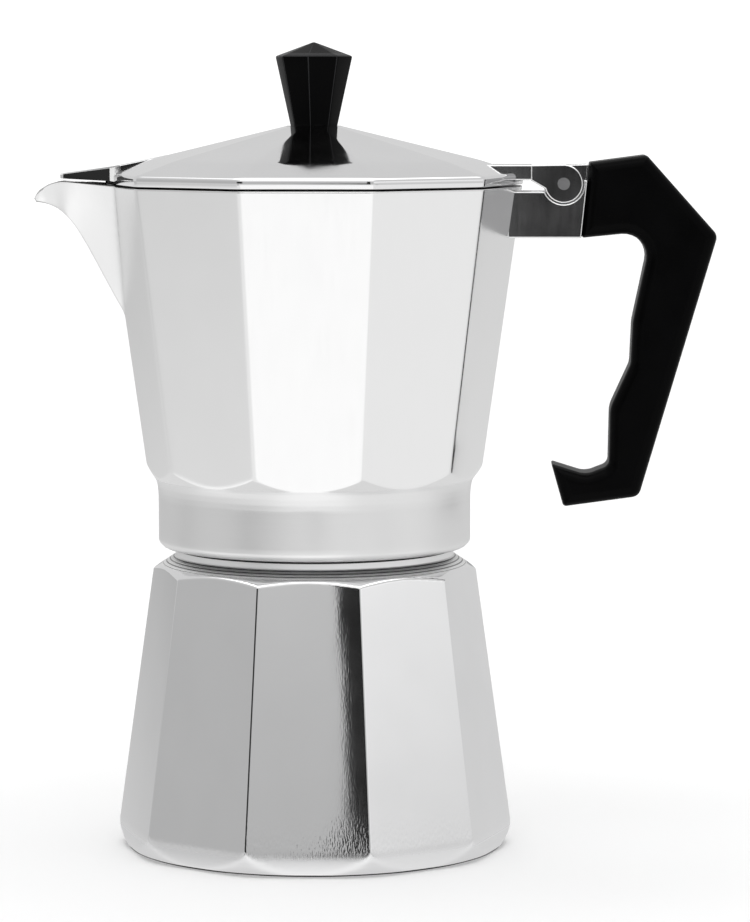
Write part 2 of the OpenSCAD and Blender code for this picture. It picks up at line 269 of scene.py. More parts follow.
def anticlockwise(corners):
    pts = np.array([c[:2] for c in corners])
    nxt = np.roll(pts, -1, 0)
    area = (pts[:, 0] * nxt[:, 1] - nxt[:, 0] * pts[:, 1]).sum()
    return corners if area > 0 else corners[::-1]


def plate(name, corners, y_low, y_high, edge, n=6, steps=4, edge_slot=0):
    """A plate whose outline of [x, z, radius] lies in XZ, with rounded edges all round both faces."""
    corners = anticlockwise(corners)
    levels = [(edge * (1 - math.sin(t)), y_low + edge * (1 - math.cos(t)))
              for t in [math.pi / 2 * i / steps for i in range(steps + 1)]]
    levels += [(d, y_high - (y - y_low)) for d, y in reversed(levels)]
    rings = []
    for d, y in levels:
        pts = rounded(inset(corners, d), n)
        rings.append(np.stack([pts[:, 0], np.full(len(pts), y), pts[:, 1]], -1))
    count = len(rings[0])
    verts = np.concatenate(rings)
    faces = [tuple(range(count)), tuple(reversed(range(len(verts) - count, len(verts))))]
    for i in range(len(rings) - 1):
        for j in range(count):
            k = (j + 1) % count
            faces.append((i * count + k, i * count + j, (i + 1) * count + j, (i + 1) * count + k))
    return evened(mesh_object(name, verts, faces, [0, 0] + [edge_slot] * (len(faces) - 2)))


def evened(obj):
    """Flat faces stay flat to the light, and only their rounded edges turn it."""
    even = obj.modifiers.new("even", "WEIGHTED_NORMAL")
    even.keep_sharp = True
    return obj


def bar(name, centre, direction, radii, n=72):
    """A turned bar along a direction: radii is (distance along it, radius) from end to end."""
    axis = Vector(direction)
    side = axis.orthogonal().normalized()
    up = axis.cross(side)
    theta = np.linspace(0, 2 * np.pi, n, endpoint=False)[:, None]
    ring = np.cos(theta) * np.array(side) + np.sin(theta) * np.array(up)
    ends = [(radii[0][0], 0.0), *radii, (radii[-1][0], 0.0)]
    return ring_mesh(name, np.array([np.array(centre) + np.array(axis) * d + ring * r for d, r in ends]))


def drilled(obj, cutter):
    """The object with the cutter's shape taken out."""
    obj.modifiers.clear()
    cut = obj.modifiers.new("cut", "BOOLEAN")
    cut.operation, cut.object, cut.solver = "DIFFERENCE", cutter, "EXACT"
    bpy.context.view_layer.update()
    done = bpy.data.meshes.new_from_object(obj.evaluated_get(bpy.context.evaluated_depsgraph_get()))
    obj.modifiers.clear()
    obj.data = done
    obj.data.materials.clear()
    bpy.data.objects.remove(cutter)
    return obj


def bevelled(obj, width, segments, angle):
    """A rounded edge of that width in millimetres wherever faces meet at more than angle degrees."""
    edge = obj.modifiers.new("edges", "BEVEL")
    edge.width = width * MM
    edge.segments = segments
    edge.limit_method = "ANGLE"
    edge.angle_limit = math.radians(angle)


def finish_piece(obj, body, slot, material, *replaced, keep_sharp=None):
    """Gives a piece its materials and its CAD body, and hides the CAD nodes that it stands for. The slot is
    not used.
    """
    if keep_sharp:
        obj.data.set_sharp_from_angle(angle=math.radians(keep_sharp))
    for m in (material if isinstance(material, (list, tuple)) else [material]):
        obj.data.materials.append(m)
    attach(obj, body)
    if replaced:
        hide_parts(*replaced)
    return obj


# ---------------------------------------------------------------- materials

def node_tree(name):
    m = bpy.data.materials.new(name)
    m.use_nodes = True
    nodes, links = m.node_tree.nodes, m.node_tree.links
    shader = nodes["Principled BSDF"]
    where = nodes.new("ShaderNodeTexCoord").outputs["Object"]
    return m, nodes, links, shader, where


def stretched(nodes, links, where, scale):
    mapping = nodes.new("ShaderNodeMapping")
    mapping.inputs["Scale"].default_value = scale
    links.new(where, mapping.inputs["Vector"])
    return mapping.outputs["Vector"]


def noise(nodes, links, vector, scale, detail=3.0, rough=0.5):
    n = nodes.new("ShaderNodeTexNoise")
    n.inputs["Scale"].default_value = scale
    n.inputs["Detail"].default_value = detail
    n.inputs["Roughness"].default_value = rough
    links.new(vector, n.inputs["Vector"])
    return n.outputs["Fac"]


def ramp(nodes, links, fac, stops):
    r = nodes.new("ShaderNodeValToRGB")
    while len(r.color_ramp.elements) < len(stops):
        r.color_ramp.elements.new(0.5)
    for e, (pos, value) in zip(r.color_ramp.elements, stops):
        e.position = pos
        e.color = (*value, 1) if isinstance(value, tuple) else (value, value, value, 1)
    links.new(fac, r.inputs["Fac"])
    return r.outputs["Color"]


def bump(nodes, links, height, strength, distance, normal=None):
    b = nodes.new("ShaderNodeBump")
    b.inputs["Strength"].default_value = strength
    b.inputs["Distance"].default_value = distance
    links.new(height, b.inputs["Height"])
    if normal is not None:
        links.new(normal, b.inputs["Normal"])
    return b.outputs["Normal"]


def math_node(nodes, links, operation, *values):
    """The output of a Math node whose inputs are numbers or other outputs."""
    n = nodes.new("ShaderNodeMath")
    n.operation = operation
    for socket, v in zip(n.inputs, values):
        if isinstance(v, (int, float)):
            socket.default_value = v
        else:
            links.new(v, socket)
    return n.outputs[0]


def map_range(nodes, links, value, lo, hi, start=0.0, end=1.0, kind="SMOOTHSTEP"):
    """start where value is lo, end where it is hi, and smoothly in between."""
    n = nodes.new("ShaderNodeMapRange")
    n.interpolation_type = kind
    for socket, v in zip(list(n.inputs)[1:5], (lo, hi, start, end)):
        socket.default_value = v
    links.new(value, n.inputs[0])
    return n.outputs[0]


def near_foot(nodes, links, where, full, none):
    """1 below the height full, falling to 0 at the height none, both in metres."""
    split = nodes.new("ShaderNodeSeparateXYZ")
    links.new(where, split.inputs[0])
    return map_range(nodes, links, split.outputs[2], full, none, 1.0, 0.0)


# The boiler's polish near its foot: heights in metres where each change is full and where it ends
RIPPLED = (0.004, 0.018)
DULL = (0.0030, 0.0075)
DULL_ROUGH = 0.34       # roughness added where it is dull
RIPPLES_ABOVE = 0.09    # depth of the ripples above them, as a share of the full depth


def ripples(nodes, links, where, normal):
    """Small waves in the polish, steep and deeper towards the foot."""
    turn = nodes.new("ShaderNodeMapping")
    turn.inputs["Rotation"].default_value = (0, 0.35, 0)
    turn.inputs["Scale"].default_value = (1, 1, 0.28)
    links.new(where, turn.inputs["Vector"])
    waves = noise(nodes, links, turn.outputs["Vector"], 2600.0, 1.0, 0.4)
    depth = math_node(nodes, links, "ADD", near_foot(nodes, links, where, *RIPPLED), RIPPLES_ABOVE)
    height = math_node(nodes, links, "MULTIPLY", waves, depth)
    return bump(nodes, links, height, 1.0, 0.00002, normal)


def metal(name, color, rough, grain=(1, 1, 1), grain_scale=400.0, grain_bump=0.15, wave_bump=0.0,
          wave_scale=60.0, wave_stretch=(1, 1, 1), spread=0.05, tint=0.03, rippled=False):
    """A metal with fine directional grain, slow waves in the surface and patchy gloss.

    grain and wave_stretch scale the pattern along X, Y and Z, so a small number draws it out that way."""
    m, nodes, links, shader, where = node_tree(name)
    shader.inputs["Metallic"].default_value = 1.0
    patch = noise(nodes, links, where, 55.0, 3.0)
    dark = tuple(c * (1 - tint) for c in color)
    links.new(ramp(nodes, links, patch, [(0.3, dark), (0.7, color)]), shader.inputs["Base Color"])
    lines = noise(nodes, links, stretched(nodes, links, where, grain), grain_scale, 4.0, 0.6)
    mixed = math_node(nodes, links, "MULTIPLY_ADD", lines, 0.5, patch)
    gloss = ramp(nodes, links, mixed, [(0.45, max(rough - spread, 0.02)), (1.05, rough + spread)])
    if rippled:
        dull = near_foot(nodes, links, where, *DULL)
        gloss = math_node(nodes, links, "MULTIPLY_ADD", dull, DULL_ROUGH, gloss)
    links.new(gloss, shader.inputs["Roughness"])
    normal = bump(nodes, links, lines, grain_bump, 0.00002)
    if wave_bump:
        waves = noise(nodes, links, stretched(nodes, links, where, wave_stretch), wave_scale, 2.0, 0.5)
        normal = bump(nodes, links, waves, wave_bump, 0.0006, normal)
    if rippled:
        normal = ripples(nodes, links, where, normal)
    links.new(normal, shader.inputs["Normal"])
    return m


def plastic(name, color, rough):
    """Moulded black plastic: a fine grain, and a little more gloss in patches."""
    m, nodes, links, shader, where = node_tree(name)
    patch = noise(nodes, links, where, 90.0, 4.0)
    links.new(ramp(nodes, links, patch, [(0.3, color), (0.75, tuple(c * 1.5 for c in color))]),
              shader.inputs["Base Color"])
    gloss = ramp(nodes, links, patch, [(0.3, rough - 0.06), (0.7, rough + 0.06)])
    links.new(gloss, shader.inputs["Roughness"])
    shader.inputs["Specular IOR Level"].default_value = 0.035
    grain = noise(nodes, links, where, 2600.0, 2.0)
    links.new(bump(nodes, links, grain, 0.12, 0.00003), shader.inputs["Normal"])
    return m


def rubber(name, color):
    """Matt rubber with a faint mottle."""
    m, nodes, links, shader, where = node_tree(name)
    patch = noise(nodes, links, where, 120.0, 4.0)
    links.new(ramp(nodes, links, patch, [(0.3, tuple(c * 0.93 for c in color)), (0.7, color)]),
              shader.inputs["Base Color"])
    shader.inputs["Roughness"].default_value = 0.6
    grain = noise(nodes, links, where, 1800.0, 3.0)
    links.new(bump(nodes, links, grain, 0.3, 0.00004), shader.inputs["Normal"])
    return m


ALUMINIUM = (0.87, 0.87, 0.875)
MAT = {
    "boiler": metal("boiler_polish", ALUMINIUM, 0.05, (1, 1, 0.04), 900.0, 0.08, 0.10, 45.0, (1, 1, 0.4),
                    spread=0.02, rippled=True),
    "jug": metal("jug_polish", (0.90, 0.90, 0.90), 0.20, (1, 1, 0.05), 700.0, 0.10, 0.05, 40.0),
    "brushed": metal("jug_brushed", (0.88, 0.88, 0.88), 0.34, (0.03, 0.03, 1), 1500.0, 0.5, spread=0.06),
    "turned": metal("turned_neck", (0.90, 0.90, 0.90), 0.42, (0.02, 0.02, 1), 1700.0, 0.7, spread=0.04),
    "inside": metal("cast_inside", (0.72, 0.72, 0.72), 0.42, (1, 1, 1), 900.0, 0.4, spread=0.08, tint=0.08),
    "lid": metal("lid_polish", (0.84, 0.84, 0.845), 0.07, (1, 1, 1), 500.0, 0.05, 0.03, 35.0),
    # hinge plates' flats: aluminium painted dark, a painted reflection of dark surroundings
    "lug": metal("lug_painted_dark_reflection", (0.46, 0.46, 0.465), 0.10, (1, 1, 0.1), 900.0, 0.08, spread=0.03, tint=0.1),
    "lug_edge": metal("lug_edge", (0.90, 0.90, 0.90), 0.22, (1, 1, 1), 900.0, 0.1),
    # dark metal in the shoulder's grooves: painted shade
    "groove": metal("turned_groove_painted_shade", (0.14, 0.14, 0.14), 0.30, (0.02, 0.02, 1), 1700.0, 0.3),
    # beak's side walls: painted dark reflection, nearly black metal
    "beak": metal("beak_side_painted_dark", (0.036, 0.036, 0.036), 0.20, (1, 1, 0.1), 900.0, 0.1, tint=0.1),
    "gap": metal("gap_shade", (0.04, 0.04, 0.04), 0.5, (1, 1, 1), 900.0, 0.1),
    # lighter metal as a painted highlight where the beak's wall turns into the lid's rim
    "edge": metal("edge_painted_highlight", (0.93, 0.93, 0.93), 0.30, (1, 1, 1), 900.0, 0.1),
    "sheet": metal("pressed_sheet", (0.78, 0.78, 0.79), 0.32, (1, 1, 1), 800.0, 0.3),
    "pin": metal("pin_steel", (0.62, 0.62, 0.63), 0.17, (1, 1, 1), 1500.0, 0.1, spread=0.03),
    "steel": metal("turned_steel", (0.66, 0.66, 0.67), 0.25, (1, 1, 1), 1500.0, 0.2),
    "brass": metal("turned_brass", (0.80, 0.60, 0.28), 0.24, (1, 1, 1), 1200.0, 0.25),
    "copper": metal("soft_copper", (0.78, 0.44, 0.30), 0.35, (1, 1, 1), 900.0, 0.25),
    "black": plastic("black_plastic", (0.0012, 0.0012, 0.0013), 0.30),
    # lighter black plastic: painted highlights on the knob's corners and top edge
    "black_painted_highlight": plastic("black_plastic_painted_highlight", (0.02, 0.02, 0.021), 0.30),
    "rubber": rubber("white_rubber", (0.82, 0.80, 0.75)),
}


# ---------------------------------------------------------------- boiler

def boiler_outer_r(theta, z):
    """The boiler's outside: ten faces, cut by a rounded foot and by the shoulder's cone."""
    low = max(1 - z / BASE_FADE, 0)
    corner = lerp(BASE_R, SHOULDER_R, (z - BASE_Z) / (SHOULDER_Z - BASE_Z))
    faces = polygon_r(theta, corner, bulge=0.28, blend=0.12 + BASE_SOFT * low ** 2)
    faces = faces - BASE_DRAW * low ** 2.4
    shoulder = NECK_R + (NECK_Z - z) / SHOULDER_SLOPE
    r = smin(faces, shoulder, 0.3)
    if z < BASE_FILLET:
        foot = FOOT_R + math.sqrt(max(BASE_FILLET ** 2 - (BASE_FILLET - z) ** 2, 0))
        r = smin(r, foot, 1.6)
    return smax(r, NECK_R, 0.35)


def thread_height(theta, z):
    """How far the thread's ridge stands out at an angle and a height."""
    turn = (z - THREAD_Z[0]) / PITCH - theta / (2 * np.pi)
    near = np.abs(turn - np.round(turn)) * PITCH
    fade = np.clip((z - THREAD_Z[0]) / 1.2, 0, 1) * np.clip((THREAD_Z[1] - z) / 1.2, 0, 1)
    return CREST * np.clip((0.85 - near) / 0.5, 0, 1) * fade


def make_boiler():
    """The water vessel: base, faces, shoulder, threaded neck and its hollow, in one skin without holes."""
    theta = side_columns()
    scallop_top = SHOULDER_Z + 1.5      # above this height the shoulder is all turned cone
    rings, bands = [], []

    def add(new, slot):
        rings.extend(new)
        bands.extend([slot] * len(new))

    add(turned(theta, [(0, 0.5), (8, 0.5), (30, 0.5), (31, 0.0), (40, 0.0), (46.4, 0.0), (46.9, 0.3)]), 1)
    for z in spread((0.42, 8), (2.0, 12), (7.5, 4), (12, 14), (66, 30), (scallop_top, 1)):
        add([at(theta, boiler_outer_r(theta, z), z)], 4 if z < CONTACT_Z else 0)
    for z in np.arange(scallop_top + 0.1, SKIRT_LOW - 0.9, GROOVE_STEP / 6):
        # rows in a groove are set in a little and painted dark as shade
        groove = z < NECK_Z and (z / GROOVE_STEP) % 1 < 0.25
        add([at(theta, boiler_outer_r(theta, z) - GROOVE_DEPTH * groove, z)], 3 if groove else 1)
    for z in spread((SKIRT_LOW - 0.85, 2), (SKIRT_LOW + 0.3, 1)):
        add([at(theta, NECK_R - 0.02, z)], 4)
    for z in spread((SKIRT_LOW + 0.5, 4), (THREAD_Z[0] - 0.1, 36), (THREAD_Z[1] + 0.3, 2),
                    (NECK_TOP - 0.4, 1)):
        add([at(theta, NECK_R + thread_height(theta, z), z)], 1)
    top = NECK_TOP
    add(turned(theta, [(NECK_R - 0.12, top - 0.12), (NECK_R - 0.4, top), (NECK_BORE_R + 0.4, top),
                       (NECK_BORE_R + 0.1, top - 0.1), (NECK_BORE_R, top - 0.4), (NECK_BORE_R, 80),
                       (NECK_BORE_R, 76.2), (NECK_BORE_R + 0.4, 75), (36.8, 70), (37.4, 68.5), (41, 41),
                       (45.6, 6), (45.3, 4.6), (44, 3.7), (42, 3.5), (20, 3.5), (0, 3.5)]), 2)
    obj = ring_mesh("boiler_body", np.array(rings), bands[:-1])
    looks = [MAT["boiler"], MAT["turned"], MAT["inside"], MAT["groove"], MAT["gap"]]
    return finish_piece(obj, "boiler", "satin_aluminium", looks, "boiler")


def make_valve_boss():
    """The turned seat of the safety valve on the boiler's back face."""
    low, high = mm_box("valve_washer")
    axis_z = (low[2] + high[2]) / 2
    theta = np.linspace(0, 2 * np.pi, 64, endpoint=False)
    face = low[1] - 0.05
    path = [(0, 38), (6, 38), (9.2, 41.5), (8.2, 42.6), (7.5, 43.6), (7.5, face - 0.4), (7.1, face),
            (4.2, face), (4.1, face - 0.5), (4.1, 40), (0, 40)]
    rings = [np.stack([r * np.cos(theta), np.full(64, y), axis_z - r * np.sin(theta)], -1) for r, y in path]
    obj = ring_mesh("boiler_valve_seat", np.array(rings))
    return finish_piece(obj, "boiler", "satin_aluminium", MAT["turned"])


def make_spring():
    """The valve's coil spring, built at one length; on the pot it gets shorter as the piston comes out."""
    low, high = mm_box("valve_spring")
    start = np.array([(low[0] + high[0]) / 2, low[1] + WIRE_R, (low[2] + high[2]) / 2])
    coil_r = (high[0] - low[0]) / 2 - WIRE_R
    length = high[1] - low[1] - 2 * WIRE_R
    sweep = 2 * np.pi * SPRING_TURNS
    theta = np.linspace(0, 2 * np.pi, 12, endpoint=False)[:, None]
    rings = []
    for t in np.linspace(0, 1, 24 * SPRING_TURNS + 1):
        c, s = math.cos(sweep * t), math.sin(sweep * t)
        radial = np.array([c, 0, s])
        along = np.array([-coil_r * sweep * s, length, coil_r * sweep * c])
        side = np.cross(along / np.linalg.norm(along), radial)
        middle = start + coil_r * radial + np.array([0, length * t, 0])
        rings.append(middle + WIRE_R * (np.cos(theta) * radial + np.sin(theta) * side))
    obj = ring_mesh("valve_coil", np.array([rings[0], *rings, rings[-1]]))
    finish_piece(obj, "boiler", "steel", MAT["steel"], "valve_spring")
    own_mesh(obj)


# ---------------------------------------------------------------- jug

def bezier(points, t):
    """Points at t along the cubic curve with those four control points."""
    a, b, c, d = (np.array(p) for p in points)
    t = np.asarray(t)[:, None]
    return a * (1 - t) ** 3 + 3 * b * t * (1 - t) ** 2 + 3 * c * t * t * (1 - t) + d * t ** 3


KEEL_POINTS = bezier(KEEL, np.linspace(0, 1, 60))
KEEL_SOFT = 0.05        # how round the bottom of its vee is


def from_spout(theta):
    """Angle away from the spout's direction, -X."""
    return np.abs(theta % (2 * np.pi) - np.pi)


def spout_half(x, z, wall):
    """Half the spout's width at distances x from the axis and heights z, or below its keel -1."""
    rim = np.interp(x, [SPOUT_ROOT_X - 10, SPOUT_ROOT_X, SPOUT_NOSE_X],
                    [SPOUT_ROOT_HALF + 4.2, SPOUT_ROOT_HALF, SPOUT_NOSE_HALF])
    past = np.clip((x - SPOUT_NOSE_X) / (SPOUT_END_X - SPOUT_NOSE_X), 0, 1)
    rim = rim * np.sqrt(1 - past ** 2)
    keel = np.interp(x + wall * 1.2, [KEEL_START[0], *KEEL_POINTS[:, 0], SPOUT_END_X],
                     [KEEL_START[1], *KEEL_POINTS[:, 1], SPOUT_END_Z])
    up = (z - keel) / (SPOUT_TOP - keel)
    vee = np.sqrt(np.maximum(up, 0) * (np.maximum(up, 0) + 2 * KEEL_SOFT) / (1 + 2 * KEEL_SOFT))
    return np.where((up > 0) & (x < SPOUT_END_X), rim * vee - wall, -1.0)


def spout_r(theta, z, wall=0.0):
    """Radius at which a level ray leaves the spout's side at heights z, or 0 where it misses it."""
    phi = from_spout(theta)
    z = np.broadcast_to(z, theta.shape)
    x = np.linspace(44.0, SPOUT_END_X + 0.2, 420)
    out = np.zeros(theta.shape)
    near = np.flatnonzero(phi < 0.4)
    room = spout_half(x[None, :], z[near, None], wall) - x[None, :] * np.tan(phi[near])[:, None]
    last = len(x) - 1 - np.argmax(room[:, ::-1] >= 0, axis=1)
    found = (room >= 0).any(1) & (last < len(x) - 1)
    last = np.minimum(last, len(x) - 2)
    rows = np.arange(len(near))
    here, beyond = room[rows, last], room[rows, last + 1]
    edge = x[last] + (x[1] - x[0]) * here / np.maximum(here - beyond, 1e-9)
    out[near] = np.where(found, edge / np.cos(phi[near]), 0)
    return out


def jug_outer_r(theta, z):
    """The jug's outside: ten faces cut by the flare over the skirt, with the spout in front of them."""
    faces = polygon_r(theta, RIM_R - (RIM_Z - z) * JUG_SLOPE, bulge=0.16)
    cone = SKIRT_R + np.interp(np.broadcast_to(z, theta.shape), *FLARE)
    r = np.maximum(smin(faces, cone, 0.5), np.minimum(SKIRT_R, cone))
    return smax(r, spout_r(theta, z), 0.5)


def jug_inner_r(theta, z):
    """The jug's inside: a round cone, with the spout's channel cut out of it."""
    cone = JUG_FLOOR_R + (z - JUG_FLOOR_Z) * (JUG_MOUTH_R - JUG_FLOOR_R) / (RIM_Z - JUG_FLOOR_Z)
    return smax(np.broadcast_to(cone, theta.shape), spout_r(theta, z, SPOUT_WALL) - 0.2, 0.8)


def rim_height(theta):
    """Height of the rim round the jug: level, but it follows the spout's lip."""
    x_of, z_of = zip(*SPOUT_RIM)
    z = np.full(theta.shape, RIM_Z)
    in_spout = np.cos(theta) < -0.9
    for _ in range(25):
        x = -jug_outer_r(theta, z) * np.cos(theta)
        z = np.where(in_spout, 0.5 * z + 0.5 * np.interp(x, x_of, z_of, left=RIM_Z), RIM_Z)
    return z


def jug_columns():
    """Angles of the jug's columns, which are closer together round the spout."""
    near_tip = [math.radians(180 + s * a) for s in (-1, 1)
                for a in (0.15, 0.35, 0.6, 0.9, 1.25, 1.7, 2.2, 2.8, 3.5, 4.3, 5.2, 6.2, 7.2, 8.2, 9.1, 9.9,
                          10.6, 11.2, 11.7, 12.2, 12.7, 13.2, 13.8, 14.6, 15.6)]
    common = [a for a in side_columns() if abs(math.degrees(a) - 180) > 16.3]
    return np.array(sorted(common + near_tip + [math.pi]))


def make_jug():
    """The jug: floor, skirt with a plain bore, faces, rim and inside, in one skin without holes."""
    theta = jug_columns()
    top = rim_height(theta)
    rings, bands = [], []

    def add(new, slot):
        rings.extend(new)
        bands.extend([slot] * len(new))

    bore, low = SKIRT_BORE_R, SKIRT_LOW
    add(turned(theta, [(0, 94.6), (3, 94.5), (30, 92.8), (36.4, 92.7), (36.4, 88.8), (37.6, 88.6),
                       (bore, 88.4), (bore, 80), (bore + 0.4, low), (SKIRT_R - 1.5, low),
                       (SKIRT_R - 1.1, low + 0.2), (SKIRT_R - 0.3, low + 1.0),
                       (SKIRT_R - 0.05, low + 1.5)]), 1)
    for z in spread((SKIRT_LOW + 2, 8), (SKIRT_TOP - 0.6, 1)):
        add([at(theta, SKIRT_R, z)], 1)
    for z in spread((SKIRT_TOP, 20), (BRUSHED_TOP, 1)):
        add([at(theta, jug_outer_r(theta, z), z)], 1)
    for z in spread((BRUSHED_TOP + 0.2, 26), (104, 16), (137, 20), (160, 16), (165, 1)):
        add([at(theta, jug_outer_r(theta, z), z)], 0)
    for t in np.linspace(0, 1, 30)[1:]:
        z = lerp(165, top - 0.4, t)
        add([at(theta, jug_outer_r(theta, z), z)], 0)
    outer = jug_outer_r(theta, top)
    inner = jug_inner_r(theta, top)
    wall = outer - inner
    # The rim's rounded edge goes in by so many millimetres, or by a share of the wall where it is thin
    for inwards, share, drop, slot in ((0.1, 0.05, 0.15, 3), (0.35, 0.2, 0.0, 3), (0.9, 0.5, 0.0, 0)):
        add([at(theta, outer - np.minimum(inwards, share * wall), top - drop)], slot)
    for inwards, share, drop in ((0.5, 0.3, 0.0), (0.12, 0.06, 0.12)):
        add([at(theta, inner + np.minimum(inwards, share * wall), top - drop)], 0)
    for t in np.linspace(0, 1, 24):
        z = lerp(top - 0.4, 163, t)
        add([at(theta, jug_inner_r(theta, z), z)], 2)
    for z in spread((161.5, 16), (137, 10), (102, 3), (99, 1)):
        add([at(theta, jug_inner_r(theta, z), z)], 2)
    add(turned(theta, [(38.0, 97.9), (37, 97.2), (35, 97), (14, 97.0), (0, 97.0)]), 2)
    obj = ring_mesh("jug_body", np.array(rings), bands[:-1])
    looks = [MAT["jug"], MAT["brushed"], MAT["inside"], MAT["gap"]]
    return finish_piece(obj, "collector", "polished_aluminium", looks, "collector")


def make_riser():
    """The column that the coffee rises through, with its two side outlets; its foot is closed."""
    theta = np.linspace(0, 2 * np.pi, 72, endpoint=False)
    path = [(0, 96.5), (13, 96.5), (12.4, 97.3), (11.2, 98.6), (10.6, 100.5)]
    path += [(10.6 - 3.4 * t, 100.5 + 47 * t) for t in (0.25, 0.5, 0.75, 1)]
    path += [(6.6, 149), (6.4, 150.5), (6.0, 151.5), (5.0, RISER_TOP), (2, RISER_TOP), (0, RISER_TOP)]
    obj = ring_mesh("jug_riser", np.array(turned(theta, path)))
    ports = [(-20, RISER_PORT_R), (20, RISER_PORT_R)]
    drilled(obj, bar("cut", (0, 0, RISER_TOP - 5), (0, 1, 0), ports))
    return finish_piece(obj, "collector", "plain_aluminium", MAT["inside"], "riser", keep_sharp=35)


LUG_HALF = 7.0          # half the lug's thickness
BOSS_HALF = 3.85        # and its boss's, between the lid's ears
LUG_ROOT_X = 50.2
LUG_LOW = 159.6
LEDGE_Z = 171.6         # top of the lug between the jug and the hinge
RECESS_R = 5.3          # round the hinge pin, for the lid's ears
JOINT_LOW = (69.3, LUG_LOW)     # ends of the joint line between lug and handle
JOINT_HIGH = (71.3, 179.1)


def circle_part(r, a0, a1, n=14):
    """Corners along part of a circle round the hinge pin, for a plate's outline."""
    angles = [math.radians(lerp(a0, a1, i / n)) for i in range(n + 1)]
    return [(PIN[0] + r * math.cos(a), PIN[2] + r * math.sin(a), 0.0) for a in angles]


def hinge_plate(name, outline, low, high, edge, body, slot):
    """A plate of the hinge, with no hole for the pin: polished flats painted dark as a painted reflection,
    with a bright edge in plain aluminium.
    """
    obj = plate(name, outline, low, high, edge, n=2, steps=3, edge_slot=1)
    # the flats carry the painted dark reflection, the rounded edges the plain bright aluminium
    return finish_piece(obj, body, slot, [MAT["lug"], MAT["lug_edge"]], keep_sharp=40)


def make_lug():
    """The jug's lug: a block with a round recess each side for the lid's ears, and a boss between."""
    low_x, low_z = JOINT_LOW
    top_x, top_z = JOINT_HIGH
    recess = circle_part(RECESS_R, 10, -157.5)
    block = [(top_x - 0.45, PIN[2] + 0.9, 0.2), *recess, (LUG_ROOT_X, LEDGE_Z, 0.3),
             (LUG_ROOT_X, LUG_LOW, 0.5), (low_x, low_z, 0.4)]
    for name, low, high in (("lug_near", -LUG_HALF, -BOSS_HALF), ("lug_far", BOSS_HALF, LUG_HALF)):
        hinge_plate(name, block, low, high, 0.35, "collector", "polished_aluminium")
    crown = circle_part(4.8, 92, 175, 10)
    middle = [(LUG_ROOT_X, low_z + 0.2, 0.3), (low_x - 0.1, low_z + 0.2, 0.3),
              (top_x - 0.15, top_z - 0.5, 0.4), *crown, (59.9, LEDGE_Z - 0.3, 0.3),
              (LUG_ROOT_X, LEDGE_Z - 0.3, 0.3)]
    hinge_plate("lug_boss", middle, -BOSS_HALF, BOSS_HALF, 0.3, "collector", "polished_aluminium")


# ---------------------------------------------------------------- lid and knob

LID_SLOPE = 0.243
LID_STEEP = 0.32        # and its slope outside the knee
LID_KNEE, KNEE_SOFT = 43.0, 1.5
LID_FACES_R = 49.0      # beyond this radius the rings of points blend into the edge's own outline


def lid_top_z(rho):
    """Height of the lid's faces at a corner radius rho: nearly straight, and steeper near the rim."""
    z = SEAT_Z - 0.35 - LID_SLOPE * (rho - SEAT_R - 4)
    turn = np.clip((rho - LID_KNEE + KNEE_SOFT) / (2 * KNEE_SOFT), 0, 1)
    beyond = np.where(turn < 1, KNEE_SOFT * turn ** 2, rho - LID_KNEE)
    return z - (LID_STEEP - LID_SLOPE) * beyond


def make_lid():
    """The lid: a flat seat for the knob, ten faces, an upright edge and a round lip underneath."""
    theta = side_columns()
    unit_r = polygon_r(theta, 1.0, bulge=0.0015, blend=0.012)
    edge_r = polygon_r(theta, LID_R, bulge=0.07, blend=0.7)
    rings, bands = [], []

    def add(new, slot):
        rings.extend(new)
        bands.extend([slot] * len(new))

    def top_z(r):
        """Top surface over points at radii r along each column."""
        return lid_top_z(r / unit_r)

    add([at(theta, rho, SEAT_Z) for rho in (0, 3.0, 6.0, 6.4)], 0)
    for rho in spread((6.9, 3), (9, 12), (38, 14), (LID_FACES_R, 1))[:-1]:
        add([at(theta, rho * unit_r, top_z(rho * unit_r))], 0)
    for t in np.linspace(0, 1, 11):
        r = lerp(LID_FACES_R * unit_r, edge_r - 0.7, t)
        add([at(theta, r, top_z(r))], 0)
    edge_z = top_z(edge_r - 0.7)
    add([at(theta, edge_r - 0.35, edge_z - 0.2), at(theta, edge_r - 0.1, edge_z - 0.5),
         at(theta, edge_r, edge_z - 0.9), at(theta, edge_r - 0.05, LID_BASE + 0.3)], 0)
    add([at(theta, edge_r - 0.15, LID_BASE + 0.1), at(theta, edge_r - 0.4, LID_BASE)], 2)
    add([at(theta, edge_r - 1.2, LID_BASE), at(theta, LID_PLUG_R + 0.4, LID_BASE)], 0)
    add(turned(theta, [(LID_PLUG_R, LID_BASE - 0.2), (LID_PLUG_R, 172.1), (LID_PLUG_R - 0.3, 171.85),
                       (LID_PLUG_R - 1.1, 171.85), (LID_PLUG_R - 1.4, 172.1), (LID_PLUG_R - 1.4, 174.2),
                       (45.8, 175.0), (30, 179), (12, 183.8), (6, 185.3), (5, 185.4), (0, 185.4)]), 1)
    obj = ring_mesh("lid_shell", np.array(rings)[::-1], bands[:-1][::-1])
    return finish_piece(obj, "lid", "lid_aluminium", [MAT["lid"], MAT["inside"], MAT["gap"]], "lid")


# Distance from the axis, half-width, height of the lower edge, and look of the side up to the next: 0 is the
# painted dark reflection, 1 the painted highlight
BEAK_STATIONS = [(38.2, 0.35, 179.8, 0), (44.0, 1.1, 178.2, 0), (50.2, 2.2, 176.4, 1), (50.8, 10.6, 174.0, 1),
                 (52.3, 10.3, 174.3, 0), (65.2, 1.2, 174.7, 1), (BEAK_TIP - 0.05, 0.8, 174.75, 1)]
BEAK_LEAN = 0.12        # of its sides where it is wide, over the rim


